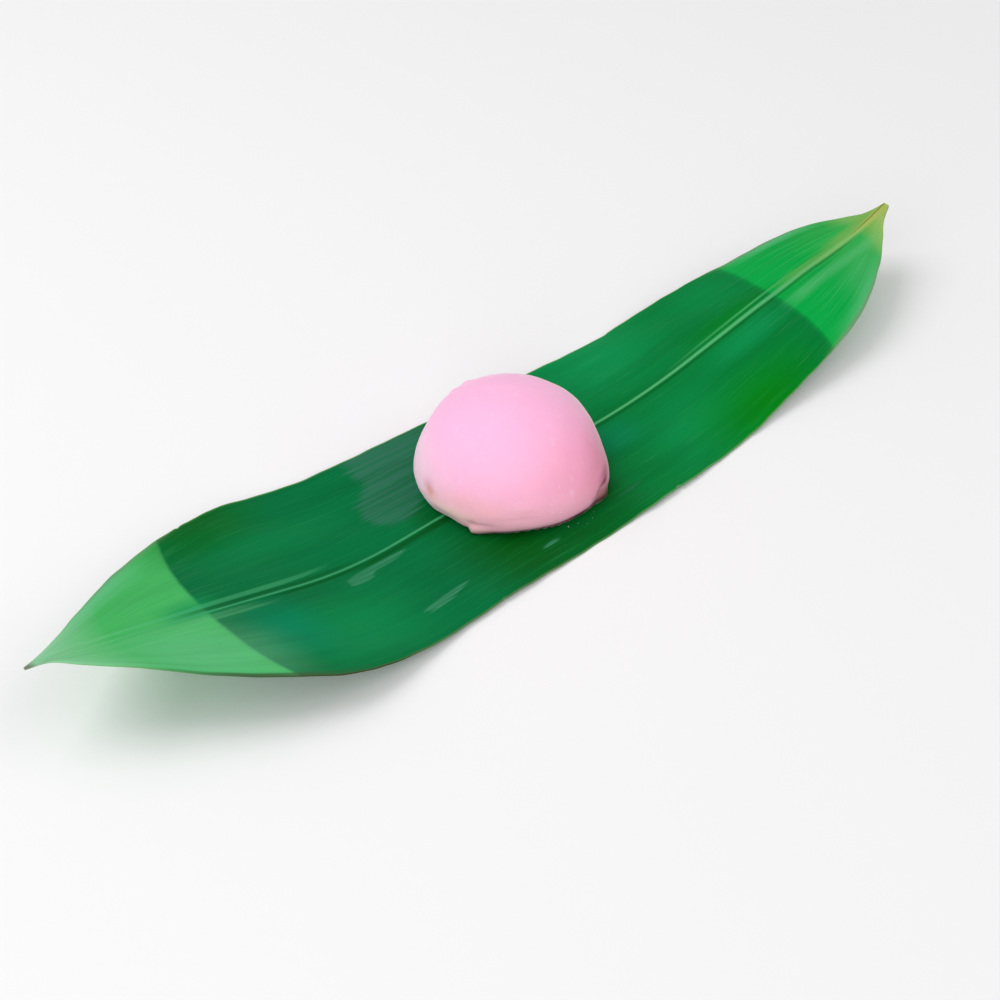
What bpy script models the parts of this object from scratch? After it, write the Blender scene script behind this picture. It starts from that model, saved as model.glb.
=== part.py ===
"""Strawberry mochi on a bamboo leaf.

A soft round rice cake, pink from strawberry, rests on one long bamboo leaf.
The leaf lies flat under the cake and curls up at both ends.
The origin is on the flat underside of the leaf, below its midrib.
+X runs along the leaf to its stalk, -X to its pointed tip, and +Z is up.
"""
from math import acos, atan2, cos, degrees, pi, radians, sin, sqrt

import bmesh
import bpy

MM = 0.001

# Leaf sizes in millimetres
TIP_X = -152.5
STALK_X = 161.5
LEAF_THICK = 0.4
RIB_RISE = 0.35
RIB_HALF = 0.75
STALK_STUB = 9.0
STUB_EASE = 5.0

# Outline of the leaf: place along it, half width on the +Y side and on the -Y side
OUTLINE = (
    (TIP_X, 0.4, 0.3),
    (-146.0, 3.6, 0.7),
    (-140.0, 7.1, 5.2),
    (-130.0, 13.5, 12.4),
    (-115.0, 22.7, 24.2),
    (-100.0, 29.7, 32.7),
    (-85.0, 35.3, 38.8),
    (-70.0, 38.9, 39.8),
    (-40.0, 35.6, 38.0),
    (0.0, 33.8, 37.5),
    (40.0, 30.4, 36.3),
    (80.0, 29.0, 31.9),
    (120.0, 21.6, 25.6),
    (140.0, 14.9, 16.2),
    (150.0, 7.8, 8.8),
    (156.0, 2.9, 3.8),
    (STALK_X, 0.9, 0.9),
)

# The midrib sways to either side: where, over what half length, how far
MIDRIB_SWAYS = (
    (-45.0, 75.0, -1.0),
    (133.0, 23.0, 0.8),
)

# Bends along the midrib: where each begins, its soft length, and the slope it adds outwards
TIP_BENDS = (
    (-58.5, 16.0, 0.29),
)
STALK_BENDS = (
    (55.0, 20.0, 0.20),
    (112.0, 15.0, -0.11),
    (141.0, 10.0, 0.28),
)

# Rise of the two edges against the midrib: where, over what half length, how much
EDGE_CURVES = (
    (-70.0, 40.0, 1.0),
    (92.0, 55.0, -3.2),
)
# The two halves of the blade also stand up from the midrib in a shallow V near both ends
FOLDS = (
    (-120.0, 34.0, 1.2),
    (136.0, 26.0, 1.6),
)

# The free edges ripple, upwards from the flat middle and less at both ends
RIPPLE_RISE = 0.9
RIPPLE_LENGTH = 64.0
RIPPLE_FREE = 10.0
RIPPLE_FULL = 60.0

# Rows along the leaf, how they crowd at both ends, and its columns as shares of the half width
LEAF_ROWS = 88
ROW_CROWDING = 0.55
COLUMN_SHARES = (0.12, 0.27, 0.43, 0.58, 0.73, 0.87, 1.0)
RIB_COLUMN_SHARE = 0.07

# Mochi sizes in millimetres
MOCHI_X = 1.1
MOCHI_Y = 0.2
MOCHI_HALF_WIDTH = 27.5
MOCHI_HEIGHT = 27.4
CROWN_POWER = 2.5
REST_GAP = 0.3
FOOT_ROUND = 1.1

# The midrib is pressed flat by the mochi, up to these distances from its middle
PRESSED_TO = 30.0
PRESSED_EASE = 42.0

# The foot draws in below this share of the height, most at one side
FOOT_SHARE = 0.25
FOOT_DRAW_IN = 0.05
FOOT_LEAN = 0.06
FOOT_LEAN_ANGLE = 142.0

# Slow unevenness seen from above: waves round the outline, share of the radius, angle
LOBES = (
    (2, 0.015, -8.0),
    (3, 0.018, 65.0),
    (5, 0.006, 20.0),
)

# Folds of the skin at the foot that step out on one side: where each starts, stands out most,
# begins to go back and has gone, mm outwards, height share
STEPPED_FOLDS = (
    ("lip at the front", 202.0, 206.5, 206.5, 222.0, 1.8, 0.12),
    ("flap under the seam", 286.0, 297.5, 298.0, 307.0, 1.1, 0.12),
)

# Pressed and pulled places: angle, height share, half angle, half height share, mm outwards
FINGER_MARKS = (
    ("hollow beside the lip", 188.0, 0.05, 13.0, 0.14, -0.8),
    ("hollow of the front hem", 241.0, 0.0, 22.0, 0.12, -0.8),
    ("tucked seam", 296.0, 0.13, 8.0, 0.07, -0.65),
    ("end of the seam", 289.0, 0.065, 7.0, 0.05, -0.35),
    ("flat of the right side", 322.0, 0.40, 42.0, 0.34, -0.9),
    ("flat of the far left side", 106.0, 0.48, 34.0, 0.24, -1.1),
    ("shoulder at the far side", 84.0, 0.70, 20.0, 0.18, 0.3),
    ("pinch at the back", 20.0, 0.30, 20.0, 0.26, -0.7),
)

# Points round the mochi and down it; the last few rings lie under it
MOCHI_SEGMENTS = 90
MOCHI_RINGS = 36
DOME_RINGS = 30
RING_CROWDING = 1.3

SHARP_EDGE = 50.0


def ramp(past, soft):
    """Zero before the bend, rising one for one after it, eased over the soft length."""
    if past <= -soft:
        return 0.0
    if past >= soft:
        return past
    return (past + soft) ** 2 / (4.0 * soft)


def bump(value, centre, half):
    """One at the centre and zero beyond the half length, with a round top."""
    share = (value - centre) / half
    if abs(share) >= 1.0:
        return 0.0
    return (1.0 - share * share) ** 2


def fade(value, start, end):
    """Zero before the start, one after the end, smooth between."""
    share = min(1.0, max(0.0, (value - start) / (end - start)))
    return share * share * (3.0 - 2.0 * share)


def half_width(x, side):
    """Half width at x from a smooth curve through the outline; side 1 is +Y and 2 is -Y."""
    last = len(OUTLINE) - 1
    k = 0
    while k < last - 1 and x > OUTLINE[k + 1][0]:
        k += 1

    def slope(i):
        before = OUTLINE[max(0, i - 1)]
        after = OUTLINE[min(last, i + 1)]
        return (after[side] - before[side]) / (after[0] - before[0])

    span = OUTLINE[k + 1][0] - OUTLINE[k][0]
    t = min(1.0, max(0.0, (x - OUTLINE[k][0]) / span))
    start = OUTLINE[k][side]
    end = OUTLINE[k + 1][side]
    return (
        start * (2 * t ** 3 - 3 * t ** 2 + 1)
        + slope(k) * span * (t ** 3 - 2 * t ** 2 + t)
        + end * (3 * t ** 2 - 2 * t ** 3)
        + slope(k + 1) * span * (t ** 3 - t ** 2)
    )


def midrib_place(x):
    """The y of the midrib at x."""
    return sum(sway * bump(x, centre, half) for centre, half, sway in MIDRIB_SWAYS)


def leaf_height(x, share):
    """Height of the underside at x; share is 0 at the midrib and 1 at the edge."""
    rise = sum(slope * ramp(at - x, soft) for at, soft, slope in TIP_BENDS)
    rise += sum(slope * ramp(x - at, soft) for at, soft, slope in STALK_BENDS)
    rise += sum(edge * bump(x, at, half) * share ** 2 for at, half, edge in EDGE_CURVES)
    rise += sum(edge * bump(x, at, half) * share for at, half, edge in FOLDS)
    ripple = 0.5 - 0.5 * cos(2.0 * pi * x / RIPPLE_LENGTH)
    ripple *= fade(STALK_X - x, RIPPLE_FREE, RIPPLE_FULL)
    ripple *= fade(x - TIP_X, RIPPLE_FREE, RIPPLE_FULL)
    return rise + RIPPLE_RISE * ripple * share ** 4


def rib_share(x, y):
    """How far the midrib or the stub of the stalk stands out of the blade, from 0 to 1."""
    clear = fade(abs(x - MOCHI_X), PRESSED_TO, PRESSED_EASE)
    across = max(0.0, 1.0 - abs(y - midrib_place(x)) / RIB_HALF)
    stub = fade(x, STALK_X - STALK_STUB, STALK_X - STALK_STUB + STUB_EASE)
    return max(across * clear, stub)


def leaf_columns(x):
    """Each column of the leaf at x as its y and its share of the way to the edge."""
    middle = midrib_place(x)
    columns = [(middle, 0.0)]
    for side, sign in ((1, 1.0), (2, -1.0)):
        half = half_width(x, side) - sign * middle
        rib = min(RIB_HALF, RIB_COLUMN_SHARE * half)
        for out in [rib] + [share * half for share in COLUMN_SHARES]:
            columns.append((middle + sign * out, out / half))
    return sorted(columns)


def make_leaf(material):
    """A thin wavy sheet that a Solidify modifier thickens, most along its midrib."""
    columns = 2 * (len(COLUMN_SHARES) + 1)
    mesh = bpy.data.meshes.new("bamboo_leaf")
    shape = bmesh.new()
    bmesh.ops.create_grid(shape, x_segments=LEAF_ROWS, y_segments=columns, size=0.5)
    weights = shape.verts.layers.deform.verify()
    for vert in shape.verts:
        row = vert.co.x + 0.5
        column = round((vert.co.y + 0.5) * columns)
        # rows stand closer together towards both ends, where the outline turns fastest
        along = row - ROW_CROWDING * sin(2.0 * pi * row) / (2.0 * pi)
        x = TIP_X + (STALK_X - TIP_X) * along
        y, share = leaf_columns(x)[column]
        vert.co = (x * MM, y * MM, leaf_height(x, share) * MM)
        vert[weights][0] = rib_share(x, y)
    # both faces of the leaf are split into triangles alike
    bmesh.ops.triangulate(shape, faces=shape.faces[:], quad_method="ALTERNATE")
    shape.to_mesh(mesh)
    shape.free()
    mesh.materials.append(material)
    mesh.shade_smooth()
    mesh.set_sharp_from_angle(angle=radians(SHARP_EDGE))

    leaf = bpy.data.objects.new("bamboo_leaf", mesh)
    leaf.vertex_groups.new(name="midrib")
    thicken = leaf.modifiers.new("leaf thickness", "SOLIDIFY")
    thicken.thickness = (LEAF_THICK + RIB_RISE) * MM
    thicken.offset = 1.0
    thicken.vertex_group = "midrib"
    thicken.thickness_vertex_group = LEAF_THICK / (LEAF_THICK + RIB_RISE)
    return leaf


def mochi_point(polar, angle):
    """Place of a point of the mochi; polar runs from 0 at the crown to 1 under the middle."""
    dome_share = DOME_RINGS / MOCHI_RINGS
    dome = min(1.0, polar / dome_share)
    under = max(0.0, (polar - dome_share) / (1.0 - dome_share))
    turn = 0.5 * pi * (1.0 - (1.0 - dome) ** RING_CROWDING)
    height = max(0.0, cos(turn)) ** (2.0 / CROWN_POWER)
    radius = MOCHI_HALF_WIDTH * sin(turn)

    # the foot draws in, more on one side, so the mochi bulges over it
    draw = FOOT_DRAW_IN + FOOT_LEAN * cos(angle - radians(FOOT_LEAN_ANGLE))
    radius *= 1.0 - draw * (1.0 - min(1.0, height / FOOT_SHARE)) ** 2
    for count, amount, lead in LOBES:
        radius *= 1.0 + amount * (1.0 - height) * cos(count * (angle - radians(lead)))
    for _, at_angle, at_height, half_angle, half_height, out in FINGER_MARKS:
        away = degrees((angle - radians(at_angle) + pi) % (2.0 * pi) - pi)
        radius += out * bump(away, 0.0, half_angle) * bump(height, at_height, half_height)
    way = degrees(angle) % 360.0
    for _, starts, full, going, gone, out, low in STEPPED_FOLDS:
        radius += out * fade(way, starts, full) * (1.0 - fade(way, going, gone)) * bump(height, 0.0, low)

    # a small round turns the side into the flat underside
    z = MOCHI_HEIGHT * height
    if z < FOOT_ROUND:
        radius -= FOOT_ROUND * (1.0 - sqrt(1.0 - (1.0 - z / FOOT_ROUND) ** 2))
    radius *= 1.0 - under
    return radius * cos(angle) * MM, radius * sin(angle) * MM, z * MM


def make_mochi(material):
    """A sphere pulled into a soft dome with a flat underside."""
    mesh = bpy.data.meshes.new("mochi")
    shape = bmesh.new()
    bmesh.ops.create_uvsphere(
        shape, u_segments=MOCHI_SEGMENTS, v_segments=MOCHI_RINGS, radius=1.0)
    for vert in shape.verts:
        polar = acos(max(-1.0, min(1.0, vert.co.z))) / pi
        vert.co = mochi_point(polar, atan2(vert.co.y, vert.co.x))
    shape.to_mesh(mesh)
    shape.free()
    mesh.materials.append(material)
    mesh.shade_smooth()
    mesh.set_sharp_from_angle(angle=radians(SHARP_EDGE))

    mochi = bpy.data.objects.new("mochi", mesh)
    mochi.location = (MOCHI_X * MM, MOCHI_Y * MM, (LEAF_THICK + REST_GAP) * MM)
    return mochi


def make_material(name, colour, roughness):
    """A plain surface with its colour, roughness and no metal in it."""
    material = bpy.data.materials.new(name)
    material.use_nodes = True
    surface = material.node_tree.nodes["Principled BSDF"]
    surface.inputs["Base Color"].default_value = (*colour, 1.0)
    surface.inputs["Roughness"].default_value = roughness
    surface.inputs["Metallic"].default_value = 0.0
    material.diffuse_color = (*colour, 1.0)
    return material


def clear_scene():
    """Remove whatever the scene holds."""
    for thing in list(bpy.data.objects):
        bpy.data.objects.remove(thing, do_unlink=True)


def main():
    clear_scene()
    sweet = bpy.data.collections.new("Strawberry mochi")
    bpy.context.scene.collection.children.link(sweet)
    leaf = make_leaf(make_material("bamboo leaf", (0.012, 0.23, 0.05), 0.42))
    mochi = make_mochi(make_material("strawberry rice dough", (0.91, 0.50, 0.70), 0.6))
    sweet.objects.link(leaf)
    sweet.objects.link(mochi)


main()
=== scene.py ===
from functools import lru_cache
from math import acos, atan2, cos, degrees, pi, radians, sin, sqrt
from random import Random

import bmesh
import bpy
from bpy.props import FloatProperty, FloatVectorProperty, IntProperty, PointerProperty
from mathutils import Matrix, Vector


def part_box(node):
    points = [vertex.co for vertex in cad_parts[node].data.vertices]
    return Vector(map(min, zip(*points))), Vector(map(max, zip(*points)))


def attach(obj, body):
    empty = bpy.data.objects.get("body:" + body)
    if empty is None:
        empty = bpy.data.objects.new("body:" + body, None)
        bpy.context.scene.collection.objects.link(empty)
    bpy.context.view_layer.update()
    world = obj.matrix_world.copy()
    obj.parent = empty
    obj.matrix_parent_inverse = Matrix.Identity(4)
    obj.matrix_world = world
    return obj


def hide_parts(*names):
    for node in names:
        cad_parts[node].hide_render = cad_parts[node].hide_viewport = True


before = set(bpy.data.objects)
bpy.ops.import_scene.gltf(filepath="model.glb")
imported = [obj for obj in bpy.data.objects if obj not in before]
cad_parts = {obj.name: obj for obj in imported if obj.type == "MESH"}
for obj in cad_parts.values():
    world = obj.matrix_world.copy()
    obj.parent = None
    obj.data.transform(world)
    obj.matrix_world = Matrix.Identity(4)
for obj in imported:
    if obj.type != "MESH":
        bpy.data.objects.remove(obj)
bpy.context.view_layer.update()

bl_info = {
    "name": "Strawberry mochi on a bamboo leaf",
    "version": (1, 0, 0),
    "blender": (4, 5, 0),
    "location": "View3D > Sidebar > Sweets",
    "description": "Models a soft pink rice cake, its bamboo leaf, loose starch and the stage",
    "category": "Add Mesh",
}

MM = 0.001
LEAF_LOW, LEAF_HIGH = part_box("bamboo_leaf")
_, MOCHI_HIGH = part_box("mochi")

# Shape functions below work in millimetres
TIP_X = LEAF_LOW.x / MM
STALK_X = LEAF_HIGH.x / MM

# Outline of the leaf: place along it, how far its edge lies from the X axis
# on the +Y side and on the -Y side
OUTLINE = (
    (TIP_X, 0.4, 0.3),
    (-146.0, 3.6, 0.7),
    (-140.0, 7.1, 5.2),
    (-130.0, 13.5, 12.4),
    (-115.0, 22.7, 24.2),
    (-100.0, 29.7, 32.7),
    (-85.0, 35.3, 38.8),
    (-70.0, 38.9, 39.8),
    (-40.0, 35.6, 38.0),
    (0.0, 33.8, 37.5),
    (40.0, 30.4, 36.3),
    (80.0, 29.0, 31.9),
    (120.0, 21.6, 25.6),
    (140.0, 14.9, 16.2),
    (150.0, 7.8, 8.8),
    (156.0, 2.9, 3.8),
    (STALK_X, 0.9, 0.9),
)
WIDEST_HALF = 39.8

# The midrib sways to either side: where, over what half length, how far
MIDRIB_SWAYS = (
    (-45.0, 75.0, -1.0),
    (133.0, 23.0, 0.8),
)

# Bends along the midrib: where each begins, its soft length, and the slope it adds outwards
TIP_BENDS = (
    (-58.5, 16.0, 0.29),
)
STALK_BENDS = (
    (55.0, 20.0, 0.20),
    (112.0, 15.0, -0.11),
    (141.0, 10.0, 0.28),
)

# Rise of the two edges against the midrib: where, over what half length, how much
EDGE_CURVES = (
    (-70.0, 40.0, 1.0),
    (92.0, 55.0, -3.2),
)
# The two halves of the blade also stand up from the midrib in a shallow V near both ends
FOLDS = (
    (-120.0, 34.0, 1.2),
    (136.0, 26.0, 1.6),
)

# The free edges ripple, upwards from the flat middle and less at both ends
RIPPLE_RISE = 0.9
RIPPLE_LENGTH = 64.0
# Distance from an end of the leaf where they begin and are full
RIPPLE_ENDS = (10.0, 60.0)

# Low swells of the blade: length along it, waves across it, where along it one is highest, rise
SWELLS = (
    (47.0, 1.3, 12.0, 0.22),
    (29.0, 2.1, -7.0, 0.12),
    (18.5, 3.2, 4.0, 0.05),
)
# The blade lies flat under the mochi: distance from it where they begin and are full
SWELL_BEYOND_MOCHI = (29.0, 48.0)
# It is calm at the midrib too: shares of the half width where they begin and are full
SWELL_BESIDE_RIB = (0.02, 0.25)

# The midrib is narrow at the tip and wide at the stalk: place along the leaf, half width
MIDRIB_WIDTHS = (
    (TIP_X, 0.35),
    (-90.0, 0.45),
    (-30.0, 0.55),
    (60.0, 0.80),
    (125.0, 1.15),
    (STALK_X, 1.6),
)
# It is never wider than this share of the blade
MIDRIB_MOST = 0.3
# The mochi presses the midrib flat between these places, eased over the last length
PRESSED_FROM = -25.0
PRESSED_TO = 30.0
PRESSED_EASE = 4.0
# A groove follows the midrib on its -Y side: depth, how far out, half width
GROOVE_DEPTH = 0.10
GROOVE_OUT = 1.3
GROOVE_HALF = 0.8

# The pale line of the midrib leans this far to the +Y side beyond the mochi
RIB_LEAN = 0.3

# A finer rib runs beside the midrib on its +Y side, near the tip and again near the stalk:
# place along the leaf, how far out, half width, strength
SIDE_RIBS = (
    (
        (-150.0, 2.0, 0.5, 0.0),
        (-136.0, 2.2, 0.5, 0.6),
        (-112.0, 2.3, 0.6, 1.0),
        (-98.0, 2.8, 0.8, 1.0),
        (-78.0, 3.2, 0.9, 1.0),
        (-68.0, 3.7, 0.7, 0.7),
        (-61.0, 4.0, 0.6, 0.0),
    ),
    (
        (64.0, 2.0, 0.45, 0.0),
        (82.0, 2.5, 0.4, 0.6),
        (105.0, 2.7, 0.4, 1.0),
        (114.0, 2.9, 0.4, 0.7),
        (124.0, 3.3, 0.8, 0.0),
    ),
)
SIDE_RIB_RISE = 0.07

# Coloured lines along the midrib, by colour setting and in this order: start, end, how far out,
# half width, strength
LINES = {
    # the first three dark lines, on the -Y side, are painted shade in the groove beside the midrib;
    # the last darkens a strip on the +Y side
    "dark_green": (
        (-62.0, 30.0, -1.6, 1.5, 0.8),
        (-88.0, -46.0, -1.1, 0.8, 0.8),
        (20.0, 150.0, -0.8, 0.9, 0.5),
        (-112.0, -50.0, 1.4, 0.9, 0.6),
    ),
    "pale_green": (
        (-142.0, -100.0, -5.2, 0.7, 0.25),
        (-138.0, -84.0, -1.6, 1.2, 0.22),
        (-118.0, -80.0, -3.1, 0.9, 0.28),
        (106.0, 154.0, -6.0, 3.2, 0.32),
    ),
    "olive": (
        (110.0, 150.0, 1.8, 1.5, 0.45),
        (132.0, 175.0, 2.2, 2.5, 0.65),
    ),
    "russet": ((141.0, 175.0, 0.8, 0.5, 0.8),),
}
LINE_EASE = 12.0

# Coarse veins stand out of the upper face
VEIN_RISE = 0.022
# They fade out between these shares of the half width
VEIN_ENDS = (0.8, 0.95)
# The blade thins towards its margin from this share of the half width
MARGIN_BEGINS = 0.88
# The stub of the stalk is as thick as the midrib: its length, and the ease into it
STALK_STUB = 9.0
STUB_EASE = 5.0

# Nicks in the edge: side, place along the leaf, half length, depth
NICKS = (
    (-1.0, 32.6, 1.3, 0.55),
    (-1.0, -34.0, 1.0, 0.35),
    (1.0, -88.0, 1.2, 0.40),
    (1.0, 66.0, 0.9, 0.35),
)
# The edge wavers inwards: height of each wave, their lengths, their middle as a share of the
# height, and the half widths where they begin and are full
EDGE_WAVER = 0.06
WAVER_LENGTHS = (9.3, 15.7)
WAVER_MIDDLE = 1.1
WAVER_WIDTHS = (2.0, 12.0)

# The green of the blade and of its midrib: place along the leaf and colour setting. The lighter
# greens of both ends are painted light that comes through the blade from below
GREENS = (
    (TIP_X, "apex_green"),
    (-128.0, "tip_green"),
    (-102.3, "tip_green"),
    (-101.1, "left_green"),
    (-30.0, "left_green"),
    (20.0, "deep_green"),
    (109.7, "deep_green"),
    (110.9, "stalk_green"),
    (128.0, "stalk_green"),
    (148.0, "neck_green"),
    (158.5, "stub_green"),
)
RIB_GREENS = (
    (TIP_X, "rib_apex"),
    (-128.0, "rib_tip"),
    (-104.0, "rib_border"),
    (-94.0, "rib_left"),
    (-45.0, "rib_left"),
    (40.0, "rib_right"),
    (110.0, "rib_right"),
    (146.0, "rib_stalk"),
    (154.0, "stub_green"),
)
# The borders between the greens, among them those of the painted light at both ends, bow at the
# edges, by these shares: +Y side, then -Y side
TIP_BOWS = (0.058, 0.045)
STALK_BOWS = (0.002, 0.036)
# Light comes through both ends of the blade, beyond these places and fully so at their ends
GLOW_ENDS = ((-85.0, -120.0), (95.0, 130.0))
GLOW_LEAST = 0.04
GLOW_MOST = 0.12

# Tones that lie over the green, in this order, and where each lies: place along the leaf,
# share of the half width, half length, half share, strength
LEAF_TONES = {
    "fresh": (
        (52.0, 0.75, 36.0, 0.80, 0.8),
        (55.0, -0.55, 24.0, 0.60, 0.5),
        (93.0, -0.20, 24.0, 0.22, 0.6),
        (98.0, 0.65, 20.0, 0.50, 0.3),
        (-72.0, -0.60, 30.0, 0.60, 0.5),
        (-70.0, 0.45, 40.0, 0.35, 0.25),
        (-106.0, 0.08, 12.0, 0.22, 0.8),
    ),
    "teal": (
        (-88.0, -0.38, 15.0, 0.50, 0.7),
        (34.0, -0.22, 15.0, 0.26, 0.5),
    ),
    "sun": (
        (78.0, -0.88, 34.0, 0.60, 0.9),
        (94.0, 0.12, 24.0, 0.22, 0.5),
        (-84.0, 0.95, 28.0, 0.50, 0.4),
    ),
    # painted shadow of the mochi before and beside it, deepest near its foot; the last row darkens
    # the far edge near the tip
    "shade": (
        (-15.0, -0.62, 26.0, 0.85, 0.9),
        (10.0, -0.90, 20.0, 0.40, 0.6),
        (12.0, -0.62, 13.0, 0.16, 0.9),
        (-27.0, 0.08, 9.0, 0.30, 0.5),
        (-84.0, 0.95, 26.0, 0.45, 0.55),
    ),
    "mist": (
        (-114.0, -0.60, 24.0, 0.80, 0.4),
        (-97.0, -0.65, 11.0, 0.50, 0.12),
        (-122.0, 0.95, 20.0, 0.30, 0.5),
        (128.0, 0.97, 22.0, 0.20, 0.5),
        (128.0, -0.97, 22.0, 0.20, 0.35),
        (136.0, -0.70, 16.0, 0.40, 0.15),
    ),
    "straw": (
        (149.0, 0.16, 16.0, 0.28, 0.3),
        (151.0, 0.90, 8.0, 0.50, 0.75),
        (151.5, -0.80, 9.0, 0.60, 0.6),
    ),
    # painted sheen: pale streaks that stand for reflections on the blade
    "haze": (
        (-58.0, -0.15, 6.5, 0.085, 1.1),
        (-49.0, -0.105, 12.0, 0.045, 1.0),
        (-47.5, -0.70, 9.0, 0.042, 1.0),
        (-41.0, -0.675, 7.0, 0.035, 0.9),
        (-9.5, -0.77, 6.0, 0.036, 0.62),
    ),
    # grey wax bloom with painted sheen: reflections beside and before the mochi
    "wax": (
        (-18.0, 0.74, 22.0, 0.62, 1.4),
        (-33.5, 0.37, 12.5, 0.32, 1.0),
        (22.0, -0.74, 13.0, 0.45, 0.25),
    ),
}
# Tones of the edge: where each begins and is full, as a share of the half width
# Of these, the first is painted light through the edges of both ends, the second painted shade
# under the curled near edge, the third a painted shadow along the near edge
EDGE_BANDS = (
    ("rim", 0.93, 0.985),
    ("curl", 0.925, 0.965),
    ("dry", 0.982, 0.998),
)
# Where they lie along the leaf, given in the same way as the tones over the green
EDGE_TONES = {
    # painted light that comes through the thin edges of both ends
    "rim": (
        (120.0, 1.0, 20.0, 0.4, 0.85),
        (120.0, -1.0, 20.0, 0.4, 0.85),
        (139.0, 1.0, 18.0, 0.4, 0.5),
        (139.0, -1.0, 18.0, 0.4, 0.5),
        (-118.0, 1.0, 34.0, 0.4, 0.55),
    ),
    # painted shade where the near edge of the tip curls under
    "curl": ((-106.0, -1.0, 30.0, 0.4, 0.9),),
    # painted shadow: a dark line along the near edge
    "dry": (
        (-84.0, -1.0, 32.0, 0.4, 1.0),
        (-36.0, -1.0, 60.0, 0.4, 0.4),
    ),
}
ALL_TONES = {**LEAF_TONES, **EDGE_TONES}
# Numbers that the leaf's mesh hands to its material, besides lines and tones
LEAF_MARKS = ("share", "course", "on_midrib", "on_side_rib", "side_rib")

# Streaks along the blade: length, width, detail
STREAKS = (
    ("slow", 60.0, 9.0, 2.0),
    ("fine", 38.0, 1.1, 4.0),
    ("hair", 22.0, 0.42, 2.0),
)
# What the streaks bring out: the streak, two values of it, the strength at each
STREAK_MARKS = (
    ("broken", "fine", 0.36, 0.64, 0.45, 1.0),
    ("deeper", "slow", 0.30, 0.55, 0.14, 0.0),
    ("thin", "slow", 0.35, 0.70, 0.0, 0.14),
    ("light", "fine", 0.51, 0.68, 0.0, 0.24),
    ("scratch", "hair", 0.60, 0.74, 0.0, 0.18),
)
# The borders between the greens fray by this much along the streaks
FRAY = 0.8
# Wax and painted sheen end raggedly: how far they follow the streaks, where they begin and are full
RAGGED = 0.9
WAX_AND_SHEEN_BEGINS = (0.65, 1.0)
# Drawn lines, as shares of their half width: where they are full, where they end, strength
MIDRIB_LINE = (0.3, 1.1, 1.0, 0.0)
SIDE_RIB_LINE = (0.6, 1.3, 0.6, 0.0)
# Half width of the veins as a share of their spacing, and the strength of the coarse ones
FINE_VEIN = 0.45
COARSE_VEIN = 0.10
COARSE_STRENGTH = 0.10
# The thin line of the margin, as shares of the half width, and its strength
MARGIN_LINE = (0.982, 0.998)
MARGIN_STRENGTH = 0.6
# The point of the leaf is dry up to here, then eases into the blade
DRY_POINT = (-151.5, -149.0)
DRY_STRENGTH = 0.8
# Share of the tint in the light that comes through
INNER_TINT = 0.3
# From satin to duller along the streaks: two values of them, the roughness at each
LEAF_SHEEN = (0.3, 0.7, 0.36, 0.5)

# Mochi: place, half width, fullness of the crown, round of the foot and gap under it
MOCHI_X = 1.1
MOCHI_Y = 0.2
MOCHI_HALF_WIDTH = 27.5
CROWN_POWER = 2.5
FOOT_ROUND = 1.1
FOOT_CLEARANCE = 0.02

# The foot draws in below this share of the height, most at one side
FOOT_SHARE = 0.25
FOOT_DRAW_IN = 0.05
FOOT_LEAN = 0.06
FOOT_LEAN_ANGLE = 142.0

# Slow unevenness seen from above: waves round the outline, share of the radius, angle
LOBES = (
    (2, 0.015, -8.0),
    (3, 0.018, 65.0),
    (5, 0.006, 20.0),
)

# Folds of the skin at the foot that step out on one side: where each starts, stands out most,
# begins to go back and has gone, mm outwards, height share
STEPPED_FOLDS = (
    ("lip at the front", 202.0, 206.5, 206.5, 222.0, 1.8, 0.12),
    ("flap under the seam", 286.0, 297.5, 298.0, 307.0, 1.1, 0.12),
)

# Pressed and pulled places: angle, height share, half angle, half height share, mm outwards
FINGER_MARKS = (
    ("hollow beside the lip", 188.0, 0.05, 13.0, 0.14, -0.8),
    ("hollow of the front hem", 241.0, 0.0, 22.0, 0.12, -0.8),
    ("tucked seam", 296.0, 0.13, 8.0, 0.07, -0.65),
    ("end of the seam", 289.0, 0.065, 7.0, 0.05, -0.35),
    ("flat of the right side", 322.0, 0.40, 42.0, 0.34, -0.9),
    ("flat of the far left side", 106.0, 0.48, 34.0, 0.24, -1.1),
    ("shoulder at the far side", 84.0, 0.70, 20.0, 0.18, 0.3),
    ("pinch at the back", 20.0, 0.30, 20.0, 0.26, -0.7),
)
# Finer marks of the hand on the skin, given in the same way
SKIN_MARKS = (
    ("crease over the lip", 212.0, 0.135, 12.0, 0.04, -0.18),
    ("line over the front hem", 234.0, 0.22, 17.0, 0.035, -0.10),
    ("line of the seam", 296.0, 0.115, 8.0, 0.03, -0.3),
    ("press of a thumb at the front", 262.0, 0.46, 17.0, 0.20, -0.35),
    ("soft ridge beside the thumb", 285.0, 0.52, 12.0, 0.26, 0.22),
    ("low swell at the front", 236.0, 0.34, 16.0, 0.12, 0.2),
    ("dent at the left", 174.0, 0.29, 6.0, 0.06, -0.12),
    ("dent at the shoulder", 300.0, 0.82, 16.0, 0.10, -0.15),
    ("edge at the far side", 84.0, 0.71, 4.5, 0.18, 0.5),
    ("notch beside the edge", 77.5, 0.71, 5.0, 0.18, -0.25),
    ("second edge at the far side", 99.5, 0.76, 4.5, 0.18, 0.5),
    ("notch beside the second edge", 93.5, 0.76, 4.5, 0.18, -0.3),
    ("edge at the right shoulder", 9.0, 0.60, 12.0, 0.05, 0.25),
    ("crease at the back", 352.0, 0.20, 5.0, 0.16, -0.35),
    ("second crease at the back", 38.0, 0.16, 4.0, 0.13, -0.30),
    ("third crease at the back", 68.0, 0.12, 5.0, 0.10, -0.30),
)

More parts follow.
